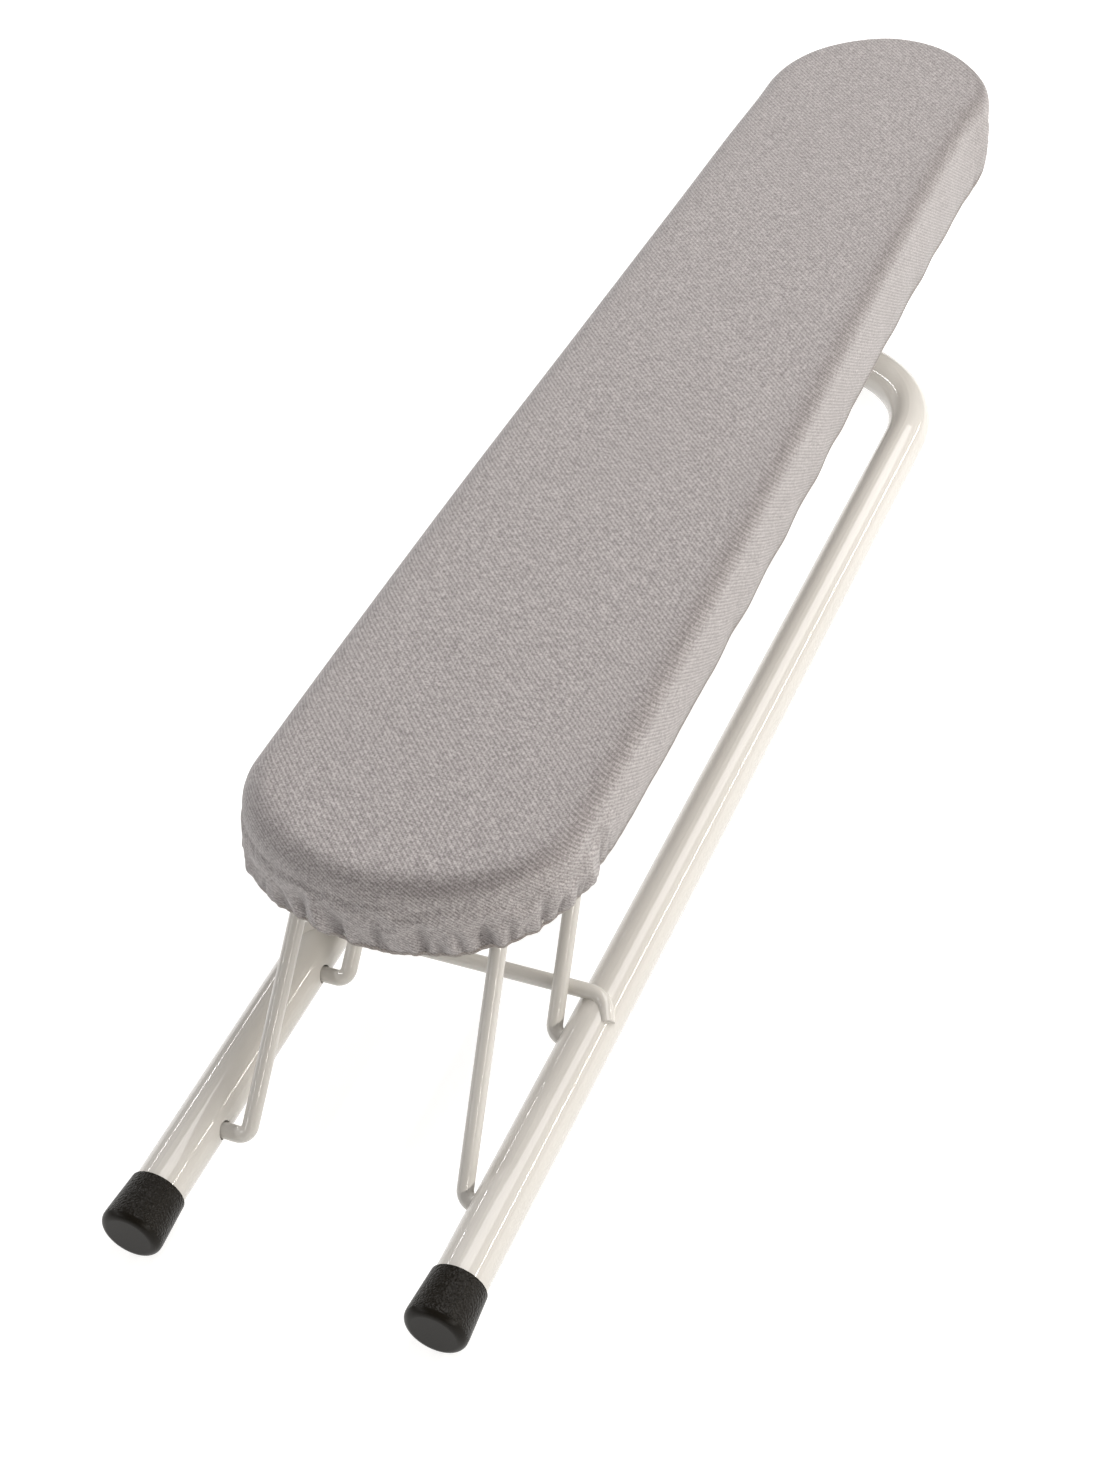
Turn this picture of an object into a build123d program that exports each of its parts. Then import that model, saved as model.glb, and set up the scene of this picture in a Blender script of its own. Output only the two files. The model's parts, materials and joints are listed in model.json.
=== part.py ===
from build123d import *

import os
from math import cos, radians, sin, tan

# A tabletop sleeve board. Millimetres. +X right, +Y towards the narrow free end, +Z up.
# The origin is on the worktop, under the middle of the overall length.

# Overall
overall_length = 697.0
board_top_z = 116.2

# Bent tube base
tube_d = 19.0
tube_wall = 1.2
tube_spacing = 115.4
bend_centre_y = 164.6
ferrule_length = 20.5
ferrule_mouth_d = 20.8
ferrule_end_d = 23.0
ferrule_end_t = 2.5
ferrule_edge_r = 3.0
foot_d = 25.0
foot_half_angle = 20.0
foot_opening_rise = 5.0

# Wire bails and the stop wire
wire_d = 6.0
bail_lean = 50.2
near_pivot_y = -296.5
far_pivot_y = -218.5
leg_low_x = 42.0
leg_high_x = 36.0
leg_low_bend_r = 4.5
leg_high_bend_r = 7.0
stub_end_x = 56.0
bail_side_play = 3.0
pivot_hole_d = 7.2
rest_gap = 0.3
stop_let_in = 3.0
stop_corner_out = 1.4
stop_end_out = 6.0
stop_end_back = 9.5
stop_end_drop = 3.5
stop_bend_r = 8.5

# Ironing board, as half-widths at three places along its length
board_near_y = -259.1
near_curve_y = -211.6
mid_y = -5.5
far_curve_y = 291.5
near_half = 63.8
mid_half = 60.75
far_half = 54.0

# Tray, pad and cover
cover_t = 1.0
cover_edge_r = 7.0
pad_t = 6.0
pad_inset = 1.3
pad_edge_r = 5.7
tray_t = 1.0
tray_inset = 2.6
tray_rim = 14.0
tray_edge_r = 4.0
vent_d = 8.0
vent_pitch = 46.0
vent_count = 9
vent_first_y = -92.0

# Hem: its lower edge slopes, deeper towards the free end
hem_near_z = 85.2
hem_far_z = 72.5
hem_near_y = -243.0
hem_far_y = 232.0
hem_inset = 1.2
hem_t = 2.6
hem_height = 8.0
elastic_d = 1.8
elastic_rise = 1.5

# Straps that hold the bails' top bars under the tray
strap_t = 1.2
strap_width = 14.0
strap_x = 16.0
strap_bore_d = 6.8
strap_bar_drop = 3.7
strap_foot_reach = 15.0
rivet_d = 4.0
rivet_head_d = 7.0
rivet_head_h = 1.8
rivet_reach = 10.2

# Worked out from the above
tube_x = tube_spacing / 2
tube_r = tube_d / 2
wire_r = wire_d / 2
axis_z = ferrule_end_d / 2
near_end_y = -overall_length / 2
far_tip_y = overall_length / 2
tube_start_y = near_end_y + ferrule_end_t
tray_top_z = board_top_z - cover_t - pad_t
tray_under_z = tray_top_z - tray_t
tray_rim_z = tray_top_z - tray_rim
top_pivot_z = tray_under_z - strap_bar_drop
bail_reach = (top_pivot_z - axis_z) / tan(radians(bail_lean))
stop_z = axis_z + tube_r + wire_r - stop_let_in
stop_lead = (wire_d + rest_gap + (stop_z - axis_z) * cos(radians(bail_lean))) / sin(radians(bail_lean))
stop_y = far_pivot_y + stop_lead
hem_slope = (hem_far_z - hem_near_z) / (hem_far_y - hem_near_y)


def hem_plane(rise):
    """The sloping plane of the cover's lower edge, raised by a distance."""
    z = hem_near_z - hem_near_y * hem_slope + rise
    return Plane(origin=(0, 0, z), x_dir=(1, 0, 0), z_dir=(0, -hem_slope, 1))


def board_outline(inset):
    """The board's plan, drawn in the current sketch, smaller by inset all round."""
    near_long = near_curve_y - board_near_y - inset
    far_long = far_tip_y - far_curve_y - inset
    with BuildLine() as edge:
        near = EllipticalCenterArc((0, near_curve_y), near_half - inset, near_long, 180, arc_size=180)
        far = EllipticalCenterArc((0, far_curve_y), far_half - inset, far_long, 0, arc_size=180)
        upright = ((0, 1), (0, 1))
        Spline(near @ 1, (mid_half - inset, mid_y), far @ 0, tangents=upright)
        Spline(near @ 0, (inset - mid_half, mid_y), far @ 1, tangents=upright)
    make_face(edge.edges())


def slab(inset, bottom_z, top_z, edge_r):
    """A slab with the board's plan and a rounded top edge."""
    with BuildPart() as block:
        with BuildSketch(Plane.XY.offset(bottom_z)):
            board_outline(inset)
        extrude(amount=top_z - bottom_z)
        fillet(block.faces().sort_by(Axis.Z)[-1].edges(), edge_r)
    return block.part


def hem_ring(inset, thickness, rise, height):
    """An upright ring that follows the board's plan and the slope of the cover's lower edge."""
    with BuildPart() as ring:
        with BuildSketch(hem_plane(rise)):
            board_outline(inset)
        extrude(amount=height)
        with BuildSketch(hem_plane(rise)):
            board_outline(inset + thickness)
        extrude(amount=height, mode=Mode.SUBTRACT)
    return ring.part


def wire(points, radii):
    """Round wire swept along straight runs joined by tangent arcs, in the current part."""
    with BuildLine() as route:
        FilletPolyline(*points, radius=radii)
    with BuildSketch(Plane(origin=route.line @ 0, z_dir=route.line % 0)) as section:
        Circle(wire_r)
    sweep(section.sketch, path=route.line)


def finish(name, label):
    """Label a finished piece and write it."""
    name.part.label = label
    export_step(name.part, f"parts/{label}.step")


os.makedirs("parts", exist_ok=True)

# Stop wire: let into slots across both tubes, and turned back along their outer shoulders
with BuildPart() as stop_wire:
    stop_points = []
    for side in (-1, 1):
        corner = (side * (tube_x + stop_corner_out), stop_y, stop_z)
        tail = (side * (tube_x + stop_end_out), stop_y - stop_end_back, stop_z - stop_end_drop)
        stop_points += [tail, corner] if side < 0 else [corner, tail]
    wire(stop_points, stop_bend_r)
finish(stop_wire, "stop_wire")

# Base tube: two straight runs and a half-circle bend, with pivot holes and slots for the stop wire
with BuildPart() as base_tube:
    with BuildLine(Plane.XY.offset(axis_z)) as base_route:
        right_run = Line((tube_x, tube_start_y), (tube_x, bend_centre_y))
        bend = CenterArc((0, bend_centre_y), tube_x, 0, 180)
        Line(bend @ 1, (-tube_x, tube_start_y))
    with BuildSketch(Plane(origin=base_route.line @ 0, z_dir=base_route.line % 0)):
        Circle(tube_r)
        Circle(tube_r - tube_wall, mode=Mode.SUBTRACT)
    sweep(path=base_route.line)
    for pivot_y in (near_pivot_y, far_pivot_y):
        for side in (-1, 1):
            hole = Plane(origin=(side * tube_x, pivot_y, axis_z), z_dir=(-side, 0, 0))
            with BuildSketch(hole):
                Circle(pivot_hole_d / 2)
            extrude(amount=tube_r + 1, mode=Mode.SUBTRACT)
    add(stop_wire.part, mode=Mode.SUBTRACT)
finish(base_tube, "base_tube")

# Ferrules: tapered rubber caps with a rounded rim, one over each open tube end
for side, label in ((-1, "left_ferrule"), (1, "right_ferrule")):
    with BuildPart() as ferrule:
        turning = Plane(origin=(side * tube_x, near_end_y, axis_z), x_dir=(1, 0, 0), z_dir=(0, 0, 1))
        with BuildSketch(turning):
            with BuildLine():
                Polyline(
                    (0, 0),
                    (ferrule_end_d / 2, 0),
                    (ferrule_end_d / 2, ferrule_length * 0.2),
                    (ferrule_mouth_d / 2, ferrule_length),
                    (tube_r, ferrule_length),
                    (tube_r, ferrule_end_t),
                    (0, ferrule_end_t),
                    close=True,
                )
            make_face()
        revolve(axis=Axis((side * tube_x, 0, axis_z), (0, 1, 0)))
        end_edges = ferrule.edges().filter_by(GeomType.CIRCLE).group_by(Axis.Y)[0].sort_by(SortBy.RADIUS)
        fillet(end_edges[-1], ferrule_edge_r)
    finish(ferrule, label)

# Rear foot: a rubber clip under the middle of the bend, flat on the worktop
with BuildPart() as rear_foot:
    with BuildLine(Plane.XY.offset(axis_z)) as foot_route:
        CenterArc((0, bend_centre_y), tube_x, 90 - foot_half_angle, 2 * foot_half_angle)
    with BuildSketch(Plane(origin=foot_route.line @ 0, z_dir=foot_route.line % 0)):
        Circle(foot_d / 2)
        Circle(tube_r, mode=Mode.SUBTRACT)
    sweep(path=foot_route.line)
    split(bisect_by=Plane.XY, keep=Keep.TOP)
    split(bisect_by=Plane.XY.offset(axis_z + foot_opening_rise), keep=Keep.BOTTOM)
finish(rear_foot, "rear_foot")

# Bails: wire hoops whose stubs turn in the tubes' holes and whose bars turn under the tray
for pivot_y, label in ((near_pivot_y, "near_bail"), (far_pivot_y, "far_bail")):
    with BuildPart() as bail:
        low = [(x, pivot_y, axis_z) for x in (-stub_end_x, -leg_low_x, leg_low_x, stub_end_x)]
        high = [(x, pivot_y + bail_reach, top_pivot_z) for x in (-leg_high_x, leg_high_x)]
        hoop = [(x + bail_side_play, y, z) for x, y, z in (*low[:2], *high, *low[2:])]
        wire(hoop, (leg_low_bend_r, leg_high_bend_r, leg_high_bend_r, leg_low_bend_r))
    finish(bail, label)

# Tray: pressed steel sheet with a turned-down rim, vent holes and rivet holes
strap_places = [
    (f"{end}_{hand}_strap", side * strap_x, pivot_y + bail_reach)
    for end, pivot_y in (("near", near_pivot_y), ("far", far_pivot_y))
    for hand, side in (("left", -1), ("right", 1))
]
rivet_places = [(x, y + way * rivet_reach) for _, x, y in strap_places for way in (-1, 1)]
tray_block = slab(tray_inset, tray_rim_z, tray_top_z, tray_edge_r)
tray_hollow = slab(tray_inset + tray_t, tray_rim_z, tray_under_z, tray_edge_r - tray_t)
with BuildPart() as board_tray:
    add(tray_block)
    add(tray_hollow, mode=Mode.SUBTRACT)
    with BuildSketch(Plane.XY.offset(tray_top_z)):
        with Locations(*[(0, vent_first_y + step * vent_pitch) for step in range(vent_count)]):
            Circle(vent_d / 2)
        with Locations(*rivet_places):
            Circle(rivet_d / 2)
    extrude(amount=-2 * tray_t, mode=Mode.SUBTRACT)
finish(board_tray, "board_tray")

# Straps: each goes down round a bail's top bar and is riveted flat to the tray
above = (Align.CENTER, Align.MIN)
for label, x, y in strap_places:
    with BuildPart() as strap:
        with BuildSketch(Plane(origin=(x - strap_width / 2, y, tray_under_z), x_dir=(0, 1, 0), z_dir=(1, 0, 0))):
            with Locations((0, -strap_t / 2)):
                Rectangle(2 * strap_foot_reach, strap_t)
            with Locations((0, -strap_bar_drop / 2)):
                Rectangle(strap_bore_d + 2 * strap_t, strap_bar_drop)
            with Locations((0, -strap_bar_drop)):
                Circle(strap_bore_d / 2 + strap_t)
            with Locations((0, -strap_bar_drop / 2)):
                Rectangle(strap_bore_d, strap_bar_drop, mode=Mode.SUBTRACT)
            with Locations((0, -strap_bar_drop)):
                Circle(strap_bore_d / 2, mode=Mode.SUBTRACT)
            Rectangle(2 * strap_foot_reach, strap_bore_d, align=above, mode=Mode.SUBTRACT)
        extrude(amount=strap_width)
        with BuildSketch(Plane.XY.offset(tray_under_z)):
            with Locations(*[(x, y + way * rivet_reach) for way in (-1, 1)]):
                Circle(rivet_d / 2)
        extrude(amount=-2 * strap_t, mode=Mode.SUBTRACT)
    finish(strap, label)

# Rivets: flush with the tray's top, with domed heads under the straps' feet
with BuildPart() as strap_rivets:
    with BuildSketch(Plane.XY.offset(tray_top_z)):
        with Locations(*rivet_places):
            Circle(rivet_d / 2)
    extrude(amount=-tray_t - strap_t)
    with BuildSketch(Plane.XY.offset(tray_under_z - strap_t)):
        with Locations(*rivet_places):
            Circle(rivet_head_d / 2)
    extrude(amount=-rivet_head_h)
    fillet(strap_rivets.edges().group_by(Axis.Z)[0], rivet_head_h * 0.8)
finish(strap_rivets, "strap_rivets")

# Pad: foam over the tray's top
pad_block = slab(pad_inset, tray_top_z, board_top_z - cover_t, pad_edge_r)
with BuildPart() as foam_pad:
    add(pad_block)
finish(foam_pad, "foam_pad")

# Cover: fabric over the pad and down round the rim, open underneath
cut_z = hem_far_z - 2 * cover_edge_r
cover_block = slab(0, cut_z, board_top_z, cover_edge_r)
cover_hollow = slab(cover_t, cut_z, board_top_z - cover_t, cover_edge_r - cover_t)
with BuildPart() as cover:
    add(cover_block)
    add(cover_hollow, mode=Mode.SUBTRACT)
    split(bisect_by=hem_plane(0), keep=Keep.TOP)
finish(cover, "cover")

# Hem: the folded channel inside the skirt's lower edge, and the elastic that lies in it
slot_inset = hem_inset + (hem_t - elastic_d) / 2
band_ring = hem_ring(hem_inset, hem_t, 0, hem_height)
slot_ring = hem_ring(slot_inset, elastic_d, elastic_rise, hem_height)
with BuildPart() as hem_band:
    add(band_ring)
    add(slot_ring, mode=Mode.SUBTRACT)
finish(hem_band, "hem_band")

elastic_ring = hem_ring(slot_inset, elastic_d, elastic_rise, elastic_d)
with BuildPart() as hem_elastic:
    add(elastic_ring)
finish(hem_elastic, "hem_elastic")
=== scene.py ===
import json
import math

import bmesh
import bpy
import numpy as np
from mathutils import Matrix, Vector


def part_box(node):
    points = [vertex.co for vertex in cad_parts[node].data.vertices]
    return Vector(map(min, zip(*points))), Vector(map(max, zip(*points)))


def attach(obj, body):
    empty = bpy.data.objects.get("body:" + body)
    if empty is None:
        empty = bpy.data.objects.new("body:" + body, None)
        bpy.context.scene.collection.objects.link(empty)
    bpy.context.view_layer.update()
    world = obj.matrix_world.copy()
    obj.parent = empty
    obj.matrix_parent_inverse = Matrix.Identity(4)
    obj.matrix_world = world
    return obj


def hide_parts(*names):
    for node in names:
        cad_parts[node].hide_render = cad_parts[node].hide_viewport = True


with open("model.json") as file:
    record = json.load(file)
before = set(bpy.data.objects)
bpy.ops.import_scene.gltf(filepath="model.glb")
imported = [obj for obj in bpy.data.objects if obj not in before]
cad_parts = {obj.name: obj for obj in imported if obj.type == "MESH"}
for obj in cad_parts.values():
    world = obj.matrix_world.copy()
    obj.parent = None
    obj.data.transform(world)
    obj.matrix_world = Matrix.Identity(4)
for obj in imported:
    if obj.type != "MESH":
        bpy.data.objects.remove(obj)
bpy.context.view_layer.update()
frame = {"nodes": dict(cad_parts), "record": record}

MM = 0.001

# Places read from the CAD frame, in metres
COVER_LOW, COVER_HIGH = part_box("cover")
TRAY_TOP_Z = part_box("board_tray")[1].z
FERRULE_END_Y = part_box("right_ferrule")[0].y

# The board's plan, as in the CAD: half-widths at three places, with elliptical ends
NEAR_TIP_Y = COVER_LOW.y
FAR_TIP_Y = COVER_HIGH.y
NEAR_CURVE_Y = NEAR_TIP_Y + 47.5 * MM
FAR_CURVE_Y = FAR_TIP_Y - 57.0 * MM
MID_Y = -5.5 * MM
NEAR_HALF = COVER_HIGH.x
MID_HALF = 60.75 * MM
FAR_HALF = 54.0 * MM
TOP_Z = COVER_HIGH.z

# The cover's lower edge: its height at two places along the board
HEM_NEAR_Y, HEM_NEAR_Z = -243.0 * MM, 85.2 * MM
HEM_FAR_Y, HEM_FAR_Z = 232.0 * MM, 72.5 * MM


# ---------------------------------------------------------------- camera, light and floor

LENS_MM = 61.1
SENSOR_MM = 36.0
CAMERA_PLACE = (0.33363, -0.73962, 0.69200)
CAMERA_RIGHT = Vector((0.91566, 0.39172, -0.09017))
CAMERA_UP = Vector((-0.20238, 0.64308, 0.73858))
FLOOR_SIZE = 12.0
FLOOR_Z = -0.0002
FLOOR_GLOW = 0.80
FLOOR_GLOW_CUT = 0.50


def make_camera():
    """A camera above the right of the wide end, looking down along the board."""
    data = bpy.data.cameras.new("camera")
    data.sensor_fit = "AUTO"
    data.sensor_width = SENSOR_MM
    data.lens = LENS_MM
    camera = bpy.data.objects.new("camera", data)
    bpy.context.scene.collection.objects.link(camera)
    back = CAMERA_RIGHT.cross(CAMERA_UP)
    turn = Matrix((CAMERA_RIGHT, CAMERA_UP, back)).transposed()
    camera.matrix_world = Matrix.Translation(CAMERA_PLACE) @ turn.to_4x4()
    bpy.context.scene.camera = camera


def area_light(name, place, target, size, power, color):
    """A rectangular light whose long side, given first, lies along the board."""
    data = bpy.data.lights.new(name, "AREA")
    data.shape = "RECTANGLE"
    data.size, data.size_y = size
    data.energy = power
    data.color = color
    light = bpy.data.objects.new(name, data)
    bpy.context.scene.collection.objects.link(light)
    back = (Vector(place) - Vector(target)).normalized()
    along = Vector((0.0, 1.0, 0.0))
    along = (along - back * along.dot(back)).normalized()
    turn = Matrix((along, back.cross(along), back)).transposed()
    light.matrix_world = Matrix.Translation(place) @ turn.to_4x4()


def make_lights():
    """Soft overhead light, and two long strips that draw the thin lines on the tubes."""
    middle = (0.0, 0.0, 0.03)
    area_light("overhead", (0.40, 0.95, 1.75), middle, (2.0, 1.3), 30.5, (1.0, 0.98, 0.97))
    area_light("left_strip", (-1.23, 0.1, 0.70), (0.0, 0.1, 0.03), (4.4, 0.045), 15.0, (1.0, 0.985, 0.98))
    area_light("right_strip", (1.29, 0.1, 0.57), (0.0, 0.1, 0.03), (4.4, 0.05), 25.0, (1.0, 0.96, 0.90))
    world = bpy.data.worlds.new("studio")
    bpy.context.scene.world = world
    world.use_nodes = True
    background = world.node_tree.nodes["Background"]
    background.inputs["Color"].default_value = (1.0, 0.985, 0.975, 1.0)
    background.inputs["Strength"].default_value = 0.17
    bpy.context.scene.view_settings.view_transform = "Standard"


def make_floor():
    """A white floor that glows, but less for the rays that light the object than for the rest."""
    bpy.ops.mesh.primitive_plane_add(size=FLOOR_SIZE, location=(0.0, 0.0, FLOOR_Z))
    floor = bpy.context.object
    floor.name = "floor"
    paint, shader = new_material("floor_paint")
    shader.inputs["Base Color"].default_value = (0.50, 0.50, 0.50, 1.0)
    shader.inputs["Roughness"].default_value = 1.0
    shader.inputs["Specular IOR Level"].default_value = 0.0
    shader.inputs["Emission Color"].default_value = (1.0, 0.995, 0.985, 1.0)
    graph = Graph(paint)
    path = graph.node("ShaderNodeLightPath")
    glow = graph.math("MULTIPLY_ADD", path.outputs["Is Diffuse Ray"], -FLOOR_GLOW_CUT, FLOOR_GLOW)
    graph.link(glow, shader.inputs["Emission Strength"])
    floor.data.materials.append(paint)


# ---------------------------------------------------------------- materials

def new_material(name):
    """A node material and its shader."""
    material = bpy.data.materials.new(name)
    material.use_nodes = True
    return material, material.node_tree.nodes["Principled BSDF"]


class Graph:
    """Short calls for wiring one material's nodes."""

    def __init__(self, material):
        self.tree = material.node_tree
        self.position = self.node("ShaderNodeTexCoord").outputs["Object"]

    def node(self, kind, **settings):
        made = self.tree.nodes.new(kind)
        for key, value in settings.items():
            setattr(made, key, value)
        return made

    def link(self, value, socket):
        if isinstance(value, bpy.types.NodeSocket):
            self.tree.links.new(value, socket)
        else:
            socket.default_value = value

    def math(self, operation, a, b=0.0, c=0.0):
        made = self.node("ShaderNodeMath", operation=operation)
        for value, socket in zip((a, b, c), made.inputs):
            self.link(value, socket)
        return made.outputs[0]

    def scaled(self, scale, source=None):
        made = self.node("ShaderNodeMapping")
        self.link(source or self.position, made.inputs["Vector"])
        made.inputs["Scale"].default_value = scale
        return made.outputs[0]

    def noise(self, vector, scale, detail=2.0, roughness=0.5):
        made = self.node("ShaderNodeTexNoise")
        self.link(vector, made.inputs["Vector"])
        made.inputs["Scale"].default_value = scale
        made.inputs["Detail"].default_value = detail
        made.inputs["Roughness"].default_value = roughness
        return made.outputs[0]

    def ramp(self, value, stops):
        made = self.node("ShaderNodeValToRGB")
        self.link(value, made.inputs[0])
        elements = made.color_ramp.elements
        while len(elements) < len(stops):
            elements.new(0.5)
        for element, (place, color) in zip(elements, stops):
            element.position = place
            element.color = color if len(color) == 4 else (*color, 1.0)
        return made.outputs[0]

    def mix(self, factor, a, b, blend="MIX"):
        made = self.node("ShaderNodeMix", data_type="RGBA", blend_type=blend)
        self.link(factor, made.inputs[0])
        self.link(a, made.inputs[6])
        self.link(b, made.inputs[7])
        return made.outputs[2]

    def bump(self, height, distance, strength=1.0, normal=None):
        made = self.node("ShaderNodeBump")
        made.inputs["Strength"].default_value = strength
        made.inputs["Distance"].default_value = distance
        self.link(height, made.inputs["Height"])
        if normal is not None:
            self.link(normal, made.inputs["Normal"])
        return made.outputs[0]


def frame_paint():
    """Glossy cream powder coat: faint orange peel and slight colour drift."""
    material, shader = new_material("frame_paint")
    graph = Graph(material)
    drift = graph.noise(graph.position, 9.0, 3.0)
    color = graph.ramp(drift, [(0.3, (0.650, 0.626, 0.584)), (0.7, (0.685, 0.661, 0.619))])
    graph.link(color, shader.inputs["Base Color"])
    shader.inputs["Roughness"].default_value = 0.55
    shader.inputs["Specular IOR Level"].default_value = 0.2
    shader.inputs["Coat Weight"].default_value = 1.0
    shader.inputs["Coat Roughness"].default_value = 0.06
    peel = graph.noise(graph.position, 900.0, 2.0)
    graph.link(graph.bump(peel, 0.00002, 0.05), shader.inputs["Normal"])
    return material


def woven(name, stops, thread, lustre):
    """Fine weave: light and dark yarns, a slanting rib, slubs, a slight lustre, and painted shade where the
    mesh marks it.
    """
    material, shader = new_material(name)
    graph = Graph(material)
    split = graph.node("ShaderNodeSeparateXYZ")
    graph.link(graph.position, split.inputs[0])
    x, y, z = split.outputs
    across_place = graph.math("ADD", x, graph.math("MULTIPLY", z, 0.72))
    along_place = graph.math("ADD", y, graph.math("MULTIPLY", z, 0.69))
    across = graph.math("MULTIPLY", across_place, 1.0 / thread)
    along = graph.math("MULTIPLY", along_place, 1.0 / thread)
    warp_id = graph.math("FLOOR", across)
    weft_id = graph.math("FLOOR", along)
    over = graph.math("FLOORED_MODULO", graph.math("ADD", warp_id, weft_id), 2.0)
    warp_round = graph.math("SINE", graph.math("MULTIPLY", across, math.tau))
    weft_round = graph.math("SINE", graph.math("MULTIPLY", along, math.tau))
    swell = graph.math("MULTIPLY", warp_round, weft_round)
    slant = graph.math("MULTIPLY", graph.math("ADD", across, along), math.tau / 3.6)
    rib = graph.math("MULTIPLY_ADD", graph.math("SINE", slant), 0.5, 0.5)
    fleck = graph.noise(graph.position, 1.9 / thread, 2.0, 0.75)
    warp_dash = graph.noise(graph.scaled((1.0, 0.22, 1.0)), 1.3 / thread, 1.0)
    weft_dash = graph.noise(graph.scaled((0.22, 1.0, 0.5)), 1.3 / thread, 1.0)
    slub = graph.noise(graph.position, 0.16 / thread, 3.0, 0.6)
    mixed = graph.math("MULTIPLY", fleck, 0.40)
    for part, share in ((warp_dash, 0.36), (weft_dash, 0.36), (over, 0.05), (rib, 0.11), (slub, 0.04)):
        mixed = graph.math("MULTIPLY_ADD", part, share, mixed)
    # Painted shade: a mark from the cover's mesh multiplies the colour darker along the rounded top edge and
    # in the skirt's fold valleys.
    painted_crease_shade = graph.node("ShaderNodeAttribute", attribute_name="painted_crease_shade")
    color = graph.mix(painted_crease_shade.outputs["Fac"], graph.ramp(mixed, stops), (0.66, 0.65, 0.65, 1.0), "MULTIPLY")
    graph.link(color, shader.inputs["Base Color"])
    shader.inputs["Roughness"].default_value = 0.5
    shader.inputs["Metallic"].default_value = lustre
    shader.inputs["Sheen Weight"].default_value = 0.2
    shader.inputs["Sheen Roughness"].default_value = 0.4
    threads = graph.bump(swell, 0.00010, 0.55)
    graph.link(graph.bump(slub, 0.00012, 0.3, threads), shader.inputs["Normal"])
    return material


def pad_foam():
    """Open-cell foam: pale, with small pores."""
    material, shader = new_material("pad_foam")
    graph = Graph(material)
    pores = graph.node("ShaderNodeTexVoronoi")
    graph.link(graph.position, pores.inputs["Vector"])
    pores.inputs["Scale"].default_value = 900.0
    color = graph.ramp(pores.outputs[0], [(0.1, (0.50, 0.46, 0.38)), (0.6, (0.66, 0.62, 0.54))])
    graph.link(color, shader.inputs["Base Color"])
    shader.inputs["Roughness"].default_value = 0.95
    graph.link(graph.bump(pores.outputs[0], 0.0004, 0.6), shader.inputs["Normal"])
    return material


def elastic_cord():
    """Braided elastic: slanting ribs round a pale cord."""
    material, shader = new_material("elastic_cord")
    graph = Graph(material)
    braid = graph.node("ShaderNodeTexWave", bands_direction="DIAGONAL")
    graph.link(graph.position, braid.inputs["Vector"])
    braid.inputs["Scale"].default_value = 420.0
    braid.inputs["Distortion"].default_value = 1.5
    color = graph.ramp(braid.outputs[0], [(0.2, (0.55, 0.53, 0.50)), (0.8, (0.76, 0.74, 0.71))])
    graph.link(color, shader.inputs["Base Color"])
    shader.inputs["Roughness"].default_value = 0.8
    graph.link(graph.bump(braid.outputs[1], 0.0001, 0.6), shader.inputs["Normal"])
    return material


FERRULE_SMOOTH = 2.2 * MM


def ferrule_rubber():
    """Black-brown rubber: leather grain round the side, smooth on the end."""
    material, shader = new_material("ferrule_rubber")
    graph = Graph(material)
    split = graph.node("ShaderNodeSeparateXYZ")
    graph.link(graph.position, split.inputs[0])
    past_end = graph.math("SUBTRACT", split.outputs[1], FERRULE_END_Y + FERRULE_SMOOTH)
    on_side = graph.math("GREATER_THAN", past_end, 0.0)
    cells = graph.node("ShaderNodeTexVoronoi", feature="SMOOTH_F1")
    graph.link(graph.position, cells.inputs["Vector"])
    cells.inputs["Scale"].default_value = 1250.0
    grain = graph.math("MULTIPLY", cells.outputs["Distance"], on_side)
    fine = graph.noise(graph.position, 2600.0, 2.0)
    color = graph.ramp(fine, [(0.3, (0.0055, 0.0044, 0.0028)), (0.7, (0.0130, 0.0105, 0.0070))])
    graph.link(color, shader.inputs["Base Color"])
    shader.inputs["Roughness"].default_value = 0.34
    shader.inputs["Specular IOR Level"].default_value = 0.15
    rough = graph.bump(grain, 0.00045, 1.0)
    graph.link(graph.bump(fine, 0.00005, 0.3, rough), shader.inputs["Normal"])
    return material


def foot_rubber():
    """Plain matt black rubber."""
    material, shader = new_material("foot_rubber")
    graph = Graph(material)
    fine = graph.noise(graph.position, 1500.0, 3.0)
    color = graph.ramp(fine, [(0.3, (0.014, 0.013, 0.012)), (0.7, (0.028, 0.026, 0.024))])
    graph.link(color, shader.inputs["Base Color"])
    shader.inputs["Roughness"].default_value = 0.6
    graph.link(graph.bump(fine, 0.00008, 0.5), shader.inputs["Normal"])
    return material


def tray_paint():
    """Satin cream paint on pressed sheet."""
    material, shader = new_material("tray_paint")
    graph = Graph(material)
    drift = graph.noise(graph.position, 7.0, 3.0)
    color = graph.ramp(drift, [(0.3, (0.64, 0.61, 0.57)), (0.7, (0.70, 0.67, 0.63))])
    graph.link(color, shader.inputs["Base Color"])
    shader.inputs["Roughness"].default_value = 0.42
    peel = graph.noise(graph.position, 700.0, 2.0)
    graph.link(graph.bump(peel, 0.00005, 0.4), shader.inputs["Normal"])
    return material


def zinc(name, tone):
    """Zinc-plated steel with faint spangle."""
    material, shader = new_material(name)
    graph = Graph(material)
    spangle = graph.noise(graph.position, 420.0, 2.0)
    dark = tuple(tone * share for share in (0.80, 0.80, 0.82))
    light = (tone, tone, tone)
    graph.link(graph.ramp(spangle, [(0.35, dark), (0.65, light)]), shader.inputs["Base Color"])
    shader.inputs["Metallic"].default_value = 1.0
    shader.inputs["Roughness"].default_value = 0.36
    graph.link(graph.bump(spangle, 0.00003, 0.3), shader.inputs["Normal"])
    return material


THREAD = 0.60 * MM

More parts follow.
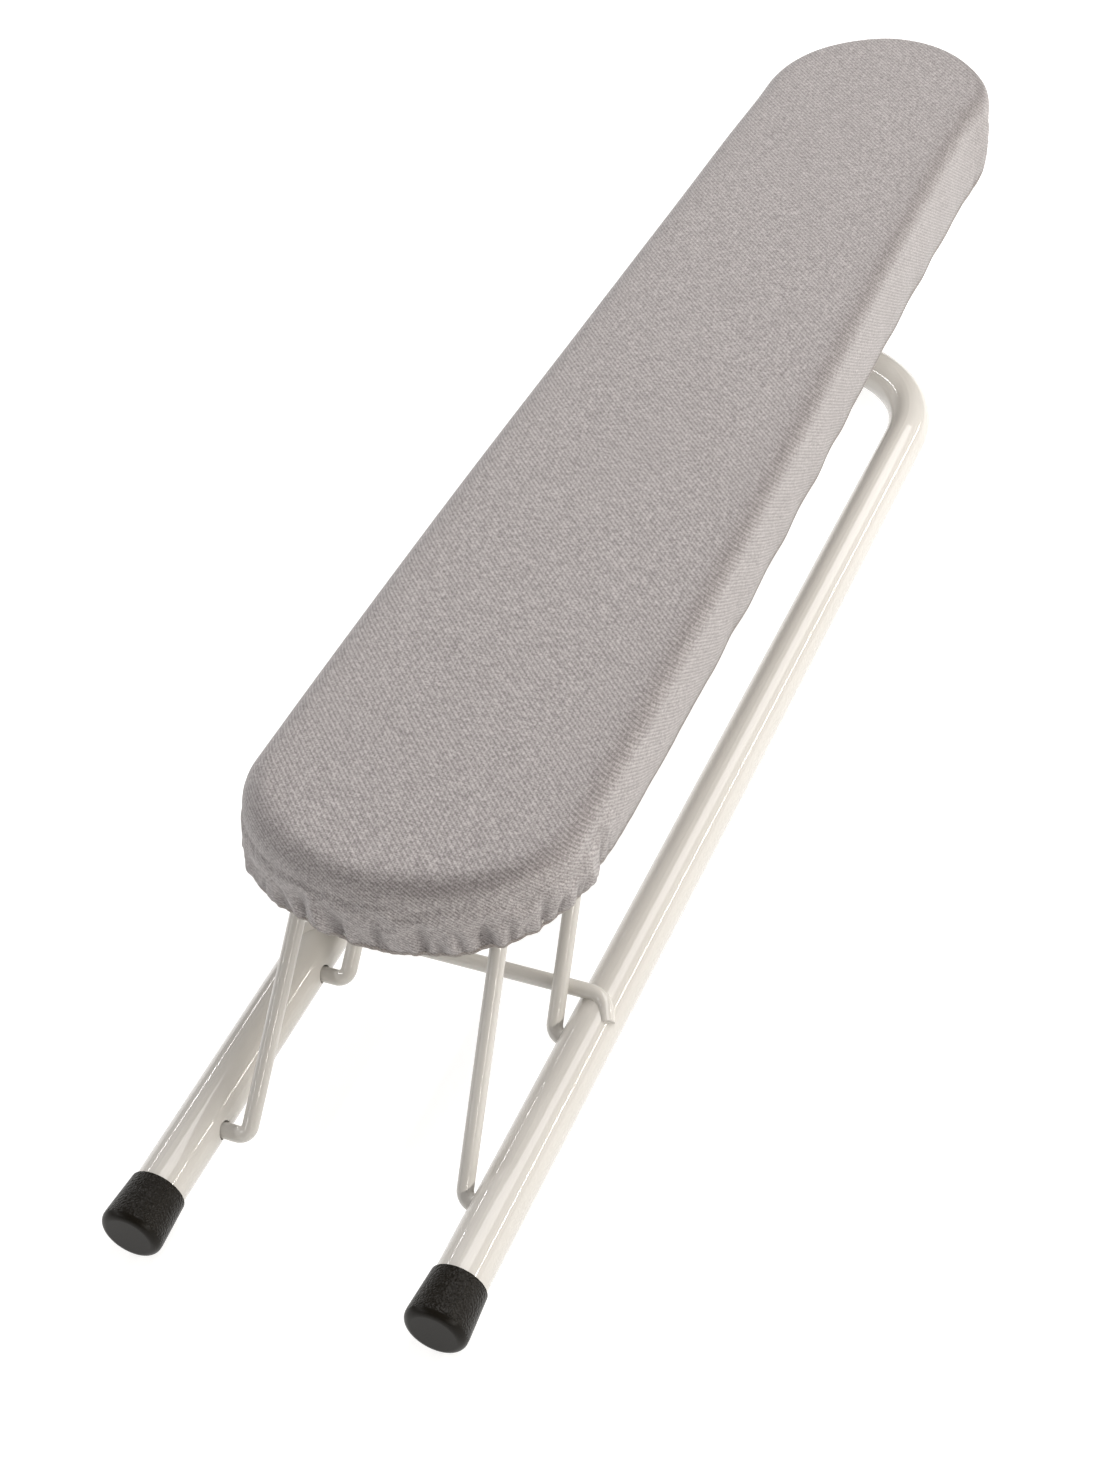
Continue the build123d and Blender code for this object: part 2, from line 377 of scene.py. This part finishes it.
MATERIALS = {
    "frame_paint": frame_paint(),
    "cover_fabric": woven(
        "cover_fabric",
        [(0.50, (0.205, 0.184, 0.182)), (0.64, (0.345, 0.316, 0.312)), (0.80, (0.590, 0.556, 0.548))],
        THREAD,
        0.15,
    ),
    "hem_fabric": woven(
        "hem_fabric",
        [(0.50, (0.150, 0.124, 0.110)), (0.64, (0.255, 0.220, 0.200)), (0.80, (0.43, 0.392, 0.368))],
        THREAD,
        0.1,
    ),
    "pad_foam": pad_foam(),
    "elastic_cord": elastic_cord(),
    "ferrule_rubber": ferrule_rubber(),
    "foot_rubber": foot_rubber(),
    "tray_paint": tray_paint(),
    "strap_steel": zinc("strap_steel", 0.62),
    "rivet_steel": zinc("rivet_steel", 0.70),
}
SLOT_OF = {entry["node"]: entry["material_slot"] for entry in frame["record"]["subparts"]}
for node, piece in frame["nodes"].items():
    if SLOT_OF[node] in MATERIALS:
        piece.data.materials.clear()
        piece.data.materials.append(MATERIALS[SLOT_OF[node]])


# ---------------------------------------------------------------- the board's plan and the fabric's shape

EDGE_R = 8.5 * MM
LEFT_EDGE_R = 11.0 * MM
COLUMN_PITCH = 1.15 * MM
TOP_ROWS = 14
EDGE_ROWS = 9
SKIRT_ROWS = 34
SKIRT_TUCK = 1.6 * MM
SKIRT_BELLY = 0.7 * MM
# The valley depth, and the columns it is measured over, that give full painted shade in the skirt's folds.
VALLEY_DEPTH = 0.6 * MM
VALLEY_COLUMNS = 4
GATHER_REACH = 112.0 * MM
HEM_TURN_R = 1.15 * MM
HEM_RISE = 8.0 * MM
ELASTIC_R = 0.9 * MM
ELASTIC_RISE = 2.4 * MM
WAVE_COUNT = 9
CLOTH_FRAMES = 12
CLOTH_SPARE = 0.03
CLOTH_CAP = 1.2 * MM

# Where the fabric stands off the plan, where its hem does, and where its hem is higher.
# Each is a place x, y, by how much there, and how far that reaches.
OFF_PLAN = [(52.0, 306.0, 2.8, 20.0), (-54.0, 290.0, -1.8, 40.0)]
HEM_OUT = [(-56.0, -236.0, 2.8, 24.0), (60.0, -214.0, -1.0, 24.0)]
HEM_UP = [
    (4.0, -258.0, -3.2, 42.0),
    (-46.0, -242.0, -2.0, 18.0),
    (60.0, -222.0, 2.4, 18.0),
    (54.0, 316.0, 7.5, 24.0),
]


def smooth(value):
    """An even step from 0 to 1, with soft ends."""
    value = np.clip(value, 0.0, 1.0)
    return value * value * (3.0 - 2.0 * value)


def side_width(y):
    """Half-width of the board between its two rounded ends."""
    knots = (NEAR_CURVE_Y, MID_Y, FAR_CURVE_Y)
    widths = (NEAR_HALF, MID_HALF, FAR_HALF)
    low, high = knots[1] - knots[0], knots[2] - knots[1]
    rise = (widths[1] - widths[0]) / low**2 + (widths[2] - widths[1]) / high**2
    slope = 3.0 * rise / (2.0 / low + 2.0 / high)
    slopes = (0.0, slope, 0.0)
    part = np.where(y < knots[1], 0, 1)
    start = np.take(knots, part)
    span = np.take(knots, part + 1) - start
    t = (y - start) / span
    a, b = np.take(widths, part), np.take(widths, part + 1)
    ta, tb = np.take(slopes, part) * span, np.take(slopes, part + 1) * span
    ends = a * (2 * t**3 - 3 * t**2 + 1) + b * (3 * t**2 - 2 * t**3)
    return ends + ta * (t**3 - 2 * t**2 + t) + tb * (t**3 - t**2)


def resample(points, count):
    """A closed line's points, spaced evenly along it."""
    closed = np.vstack([points, points[:1]])
    steps = np.linalg.norm(np.diff(closed, axis=0), axis=1)
    along = np.concatenate([[0.0], np.cumsum(steps)])
    wanted = np.arange(count) * along[-1] / count
    return np.stack([np.interp(wanted, along, closed[:, k]) for k in (0, 1)], axis=1), along[-1]


def outward_normals(points):
    """Unit normals that point out of a closed line."""
    ahead = np.roll(points, -1, axis=0) - np.roll(points, 1, axis=0)
    ahead /= np.linalg.norm(ahead, axis=1)[:, None]
    return np.stack([ahead[:, 1], -ahead[:, 0]], axis=1)


def board_plan():
    """Points, outward normals and distances along the board's edge, from the near tip round to the right."""
    bow = np.linspace(-math.pi / 2, 0.0, 400)
    near_y = NEAR_CURVE_Y + (NEAR_CURVE_Y - NEAR_TIP_Y) * np.sin(bow)
    near = np.stack([NEAR_HALF * np.cos(bow), near_y], axis=1)
    y = np.linspace(NEAR_CURVE_Y, FAR_CURVE_Y, 600)[1:]
    side = np.stack([side_width(y), y], axis=1)
    bow = np.linspace(0.0, math.pi / 2, 400)[1:]
    far_y = FAR_CURVE_Y + (FAR_TIP_Y - FAR_CURVE_Y) * np.sin(bow)
    far = np.stack([FAR_HALF * np.cos(bow), far_y], axis=1)
    right = np.vstack([near, side, far])
    left = right[-2:0:-1] * np.array([-1.0, 1.0])
    points, length = resample(np.vstack([right, left]), 4000)
    count = int(length / COLUMN_PITCH)
    points, length = resample(points, count)
    return points, outward_normals(points), np.arange(count) * length / count, length


PLAN, PLAN_NORMALS, PLAN_ALONG, PLAN_LENGTH = board_plan()
COLUMNS = len(PLAN)


def waves(along, length, shortest, longest, seed):
    """A smooth random line of height about 1 that closes on itself."""
    pick = np.random.RandomState(seed)
    total = np.zeros_like(along)
    for _ in range(WAVE_COUNT):
        turns = max(1, int(round(length / pick.uniform(shortest, longest))))
        height = pick.uniform(0.4, 1.0)
        total += height * np.sin(math.tau * turns * along / length + pick.uniform(0, math.tau))
    return total / math.sqrt(WAVE_COUNT) * 1.6


def gather_strength(along):
    """How tightly the elastic gathers the fabric: most round the near end, least along the sides."""
    from_near = np.minimum(along, PLAN_LENGTH - along)
    from_far = np.abs(along - PLAN_LENGTH / 2)
    near = 1.0 - smooth((from_near - GATHER_REACH * 0.75) / (GATHER_REACH * 0.55))
    far = 0.7 * (1.0 - smooth((from_far - 78.0 * MM) / (40.0 * MM)))
    return np.maximum(np.maximum(near, far), 0.13)


def make_folds():
    """Every fold in the skirt: place, lean, width, depth, and how high it runs."""
    pick = np.random.RandomState(23)
    folds = []
    place = 0.0
    while place < PLAN_LENGTH:
        strength = float(gather_strength(np.array([place]))[0])
        loose = 1.0 - strength
        deep = pick.rand() < 0.42
        width = pick.uniform(1.3, 2.3) * MM * (1.0 + 2.6 * loose) * (1.35 if deep else 0.8)
        depth = pick.uniform(1.8, 2.9) * MM * strength * (1.0 if deep else 0.62)
        if pick.rand() < 0.46:
            depth *= -0.9
            width *= 0.72
        high = pick.uniform(0.6, 1.05) if deep else pick.uniform(0.3, 0.75)
        folds.append((place, pick.uniform(-4.5, 4.5) * MM, width, depth, high))
        place += pick.uniform(2.8, 6.8) * MM * (1.0 + 2.2 * loose)
    corner = PLAN_LENGTH - 92.0 * MM
    folds.append((corner, 7.0 * MM, 4.2 * MM, 2.2 * MM, 1.05))
    folds.append((corner + 7.0 * MM, 6.0 * MM, 2.6 * MM, -1.9 * MM, 0.95))
    far_corner = PLAN_LENGTH / 2 - 62.0 * MM
    folds.append((far_corner, -2.0 * MM, 1.7 * MM, -2.6 * MM, 1.0))
    folds.append((far_corner + 4.5 * MM, -2.0 * MM, 3.0 * MM, 1.5 * MM, 1.0))
    return folds


FOLDS = make_folds()


def fold_offset(rise):
    """How far each column of the skirt stands out at a share of its height, from the hem up."""
    total = np.zeros(COLUMNS)
    for place, lean, width, depth, high in FOLDS:
        away = PLAN_ALONG - place - lean * rise
        away = (away + PLAN_LENGTH / 2) % PLAN_LENGTH - PLAN_LENGTH / 2
        fade = 1.0 - smooth(np.array(rise / high))
        spread = width * (1.0 + 0.9 * rise)
        total += depth * fade * np.exp(-((away / spread) ** 2))
    total *= 0.28 + 0.72 * smooth(np.array(rise / 0.16))
    loose = 1.0 - gather_strength(PLAN_ALONG)
    slow = waves(PLAN_ALONG, PLAN_LENGTH, 22 * MM, 60 * MM, 3)
    total += slow * (0.26 * MM - 0.12 * MM * loose) * (1.0 - rise) ** 0.8
    return total


def valley_share(rise):
    """How far each column lies behind its neighbours, as a share of the depth that gets full painted shade.
    """
    offset = fold_offset(rise)
    shifts = range(-VALLEY_COLUMNS, VALLEY_COLUMNS + 1)
    around = sum(np.roll(offset, shift) for shift in shifts) / len(shifts)
    return np.clip((around - offset) / VALLEY_DEPTH, 0.0, 1.0)


def local_offset(places):
    """The sum of some soft local bumps, at each column."""
    total = np.zeros(COLUMNS)
    for x, y, out, reach in places:
        away = np.hypot(PLAN[:, 0] - x * MM, PLAN[:, 1] - y * MM) / (reach * MM)
        total += out * MM * np.exp(-(away**2))
    return total


def hem_height(points_y):
    """The height of the hem's straight slope."""
    slope = (HEM_FAR_Z - HEM_NEAR_Z) / (HEM_FAR_Y - HEM_NEAR_Y)
    return HEM_NEAR_Z + slope * (points_y - HEM_NEAR_Y)


STAND_OFF = local_offset(OFF_PLAN)
HEM_STAND_OFF = local_offset(HEM_OUT)
EDGE_RADIUS = EDGE_R + (LEFT_EDGE_R - EDGE_R) * smooth(-PLAN_NORMALS[:, 0] * 1.6)
HEM_LINE = (
    hem_height(PLAN[:, 1])
    + local_offset(HEM_UP)
    + waves(PLAN_ALONG, PLAN_LENGTH, 9 * MM, 30 * MM, 5) * 0.16 * MM * (0.15 + gather_strength(PLAN_ALONG))
    - fold_offset(0.0) * 0.20
)


def skirt_point(rise):
    """The skirt's line at a share of its height: 0 at the hem, 1 where the edge starts to round over."""
    z = HEM_LINE + (TOP_Z - EDGE_RADIUS - HEM_LINE) * rise
    belly = SKIRT_BELLY * math.sin(math.pi * min(1.0, rise * 1.05))
    out = STAND_OFF + (HEM_STAND_OFF - SKIRT_TUCK) * (1.0 - rise) ** 1.7 + belly + fold_offset(rise)
    flat = PLAN + PLAN_NORMALS * out[:, None]
    return np.column_stack([flat, z])


def top_height(x, y):
    """The top: a little fuller in the middle, with the faint dips of fabric over foam."""
    across = x / NEAR_HALF
    dips = np.sin(x * 61.0 + 1.3) * np.sin(y * 33.0 + 0.7) + 0.6 * np.sin(x * 97.0 - y * 41.0)
    return TOP_Z + 0.5 * MM * (1.0 - across**2) + 0.12 * MM * dips


def spine_line():
    """For each column, the nearest point of the line down the middle of the board."""
    near_stop = NEAR_CURVE_Y + 12 * MM
    far_stop = FAR_CURVE_Y - 4 * MM
    return np.column_stack([np.zeros(COLUMNS), np.clip(PLAN[:, 1], near_stop, far_stop)])


def cover_rows():
    """Rows of points from the middle of the top out over the edge and down to the hem."""
    spine = spine_line()
    start = fold_offset(0.93) * 0.5
    rows = []
    inner = PLAN + PLAN_NORMALS * (STAND_OFF - EDGE_RADIUS)[:, None]
    for step in range(TOP_ROWS):
        share = (step / TOP_ROWS) ** 0.8
        flat = spine + (inner - spine) * share
        rows.append(np.column_stack([flat, top_height(flat[:, 0], flat[:, 1])]))
    for step in range(EDGE_ROWS):
        turn = math.pi / 2 * step / EDGE_ROWS
        out = STAND_OFF - EDGE_RADIUS * (1.0 - math.sin(turn)) + start * math.sin(turn) ** 2
        flat = PLAN + PLAN_NORMALS * out[:, None]
        lift = top_height(flat[:, 0], flat[:, 1]) - TOP_Z
        z = TOP_Z - EDGE_RADIUS * (1.0 - math.cos(turn)) + lift * math.cos(turn)
        rows.append(np.column_stack([flat, z]))
    for step in range(SKIRT_ROWS + 1):
        rows.append(skirt_point(1.0 - step / SKIRT_ROWS))
    return rows


def ring_mesh(name, rows, closed=False, marks=()):
    """A mesh through rings of points. closed joins the last ring to the first, marks are named values."""
    count = len(rows[0])
    points = np.concatenate(rows)
    faces = []
    spans = len(rows) if closed else len(rows) - 1
    for row in range(spans):
        a = row * count
        b = (row + 1) % len(rows) * count
        for column in range(count):
            following = (column + 1) % count
            faces.append((a + column, b + column, b + following, a + following))
    mesh = bpy.data.meshes.new(name)
    mesh.from_pydata(points.tolist(), [], faces)
    for mark, values in marks:
        mesh.attributes.new(mark, "FLOAT", "POINT").data.foreach_set("value", values.ravel())
    build = bmesh.new()
    build.from_mesh(mesh)
    bmesh.ops.remove_doubles(build, verts=build.verts, dist=0.00002)
    bmesh.ops.recalc_face_normals(build, faces=build.faces)
    build.to_mesh(mesh)
    build.free()
    mesh.polygons.foreach_set("use_smooth", [True] * len(mesh.polygons))
    piece = bpy.data.objects.new(name, mesh)
    bpy.context.scene.collection.objects.link(piece)
    return piece


def settle(cover):
    """Lets the skirt's spare cloth buckle between the held top and the held hem."""
    mesh = cover.data
    held = np.empty(len(mesh.vertices))
    mesh.attributes["held"].data.foreach_get("value", held)
    before = np.empty(len(mesh.vertices) * 3)
    mesh.vertices.foreach_get("co", before)
    group = cover.vertex_groups.new(name="held")
    steps = np.round(held * 20).astype(int)
    for level in np.unique(steps):
        group.add(np.nonzero(steps == level)[0].tolist(), level / 20, "REPLACE")
    cloth = cover.modifiers.new("cloth", "CLOTH")
    cloth.settings.quality = 5
    cloth.settings.mass = 0.18
    cloth.settings.tension_stiffness = 12.0
    cloth.settings.compression_stiffness = 12.0
    cloth.settings.shear_stiffness = 4.0
    cloth.settings.bending_stiffness = 0.05
    cloth.settings.shrink_min = -CLOTH_SPARE
    cloth.settings.vertex_group_mass = "held"
    cloth.settings.effector_weights.gravity = 0.0
    cloth.point_cache.frame_start = 1
    cloth.point_cache.frame_end = CLOTH_FRAMES
    for frame_number in range(1, CLOTH_FRAMES + 1):
        bpy.context.scene.frame_set(frame_number)
    settled = cover.evaluated_get(bpy.context.evaluated_depsgraph_get()).data
    after = np.empty(len(mesh.vertices) * 3)
    settled.vertices.foreach_get("co", after)
    cover.modifiers.remove(cloth)
    cover.vertex_groups.remove(group)
    bpy.context.scene.frame_set(1)
    move = (after - before).reshape(-1, 3)
    far = np.linalg.norm(move, axis=1)
    move *= ((1.0 - held) * np.minimum(far, CLOTH_CAP) / np.maximum(far, 1e-9))[:, None]
    mesh.vertices.foreach_set("co", (before.reshape(-1, 3) + move).ravel())
    mesh.update()


def make_cover():
    """The cover: its folds, then a short settling, with marks for where it is held and where painted shade
    darkens it.
    """
    rows = cover_rows()
    step = np.arange(len(rows))[:, None]
    down = (step - TOP_ROWS - EDGE_ROWS) / SKIRT_ROWS
    free = smooth((down + 0.05) / 0.15) * (1.0 - smooth((down - 0.72) / 0.20))
    held = 1.0 - free * smooth(gather_strength(PLAN_ALONG) * 1.4 - 0.2)
    turn = (step - TOP_ROWS) / EDGE_ROWS
    # Painted shade along the rounded top edge, weighted strongest on the right side and the front, where the
    # light leaves that edge darker, and weakest on the left.
    shade_side_weight = 0.12 + 0.88 * smooth(PLAN_NORMALS[:, 0] * 1.5) + 0.30 * smooth(-PLAN_NORMALS[:, 1] * 1.4)
    painted_crease_shade = np.exp(-(((turn - 0.42) / 0.34) ** 2)) * np.minimum(shade_side_weight, 1.0)
    # Painted shade in the skirt's fold valleys, fuller the further a column lies behind its neighbours.
    for row in range(TOP_ROWS + EDGE_ROWS, len(rows)):
        rise = 1.0 - (row - TOP_ROWS - EDGE_ROWS) / SKIRT_ROWS
        painted_crease_shade[row] = np.maximum(painted_crease_shade[row], valley_share(rise))
    cover = ring_mesh("cover_cloth", rows, marks=(("held", held), ("painted_crease_shade", painted_crease_shade)))
    settle(cover)
    cover.data.attributes.remove(cover.data.attributes["held"])
    cover.data.materials.append(MATERIALS["cover_fabric"])
    return cover


def make_hem():
    """The folded channel: from just outside the skirt's edge, round its bottom and up inside."""
    lip = 1.6 * MM
    proud = 0.10 * MM
    low = skirt_point(0.0)
    height = TOP_Z - EDGE_RADIUS - HEM_LINE
    rows = []
    for share in (1.0, 0.5, 0.0):
        line = skirt_point(float(np.mean(lip * share / height)))
        rows.append(line + np.column_stack([PLAN_NORMALS * proud, np.zeros(COLUMNS)]))
    pucker = waves(PLAN_ALONG, PLAN_LENGTH, 4 * MM, 11 * MM, 11) * 0.22 * MM * gather_strength(PLAN_ALONG)
    for step in range(1, 7):
        turn = math.pi * step / 6
        inward = HEM_TURN_R * (1.0 - math.cos(turn))
        drop = HEM_TURN_R * 0.8 * math.sin(turn)
        flat = low[:, :2] + PLAN_NORMALS * (proud - inward + pucker * math.sin(turn / 2))[:, None]
        rows.append(np.column_stack([flat, low[:, 2] - drop]))
    for share in (0.3, 0.6, 0.85, 1.0):
        line = skirt_point(float(np.mean(HEM_RISE * share / height)))
        inward = 2 * HEM_TURN_R * (1.0 - max(0.0, share - 0.6) / 0.4 * 0.82) + proud
        flat = line[:, :2] - PLAN_NORMALS * (inward - pucker)[:, None]
        rows.append(np.column_stack([flat, line[:, 2]]))
    hem = ring_mesh("hem", rows)
    hem.data.materials.append(MATERIALS["hem_fabric"])
    return hem


def make_elastic():
    """The round cord that lies in the hem."""
    skip = 3
    sides = 8
    line = skirt_point(0.0)[::skip]
    outward = PLAN_NORMALS[::skip]
    middle = line[:, :2] - outward * (HEM_TURN_R + 0.1 * MM)
    rows = []
    for step in range(sides):
        turn = math.tau * step / sides
        flat = middle + outward * ELASTIC_R * math.cos(turn)
        z = line[:, 2] + ELASTIC_RISE - ELASTIC_R + ELASTIC_R * math.sin(turn)
        rows.append(np.column_stack([flat, z]))
    cord = ring_mesh("elastic", rows, closed=True)
    cord.data.materials.append(MATERIALS["elastic_cord"])
    return cord


def make_pad():
    """The foam pad: a closed form just inside the cover, full in the middle and rounded at its edge."""
    gap = 1.3 * MM
    bottom = TRAY_TOP_Z + 0.05 * MM
    radius = EDGE_RADIUS - gap
    low_turn = np.arccos(np.clip(1.0 - (TOP_Z - gap - bottom) / radius, 0.0, 1.0))
    spine = spine_line()
    inner = PLAN + PLAN_NORMALS * (STAND_OFF - EDGE_RADIUS)[:, None]
    rows = []
    for step in range(8):
        flat = spine + (inner - spine) * step / 8
        rows.append(np.column_stack([flat, top_height(flat[:, 0], flat[:, 1]) - gap]))
    for step in range(8):
        turn = low_turn * step / 7
        flat = inner + PLAN_NORMALS * (radius * np.sin(turn))[:, None]
        rows.append(np.column_stack([flat, TOP_Z - gap - radius * (1.0 - np.cos(turn))]))
    edge = rows[-1][:, :2]
    for step in range(7, -1, -1):
        flat = spine + (edge - spine) * (step / 7) * 0.985
        rows.append(np.column_stack([flat, np.full(COLUMNS, bottom)]))
    pad = ring_mesh("pad", rows)
    pad.data.materials.append(MATERIALS["pad_foam"])
    return pad


cover = make_cover()
hem = make_hem()
elastic = make_elastic()
pad = make_pad()
for piece, node, finish_slot in (
    (cover, "cover", "cover_fabric"),
    (hem, "hem_band", "hem_fabric"),
    (elastic, "hem_elastic", "elastic_cord"),
    (pad, "foam_pad", "pad_foam"),
):
    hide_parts(node)
    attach(piece, "board")

make_camera()
make_lights()
make_floor()
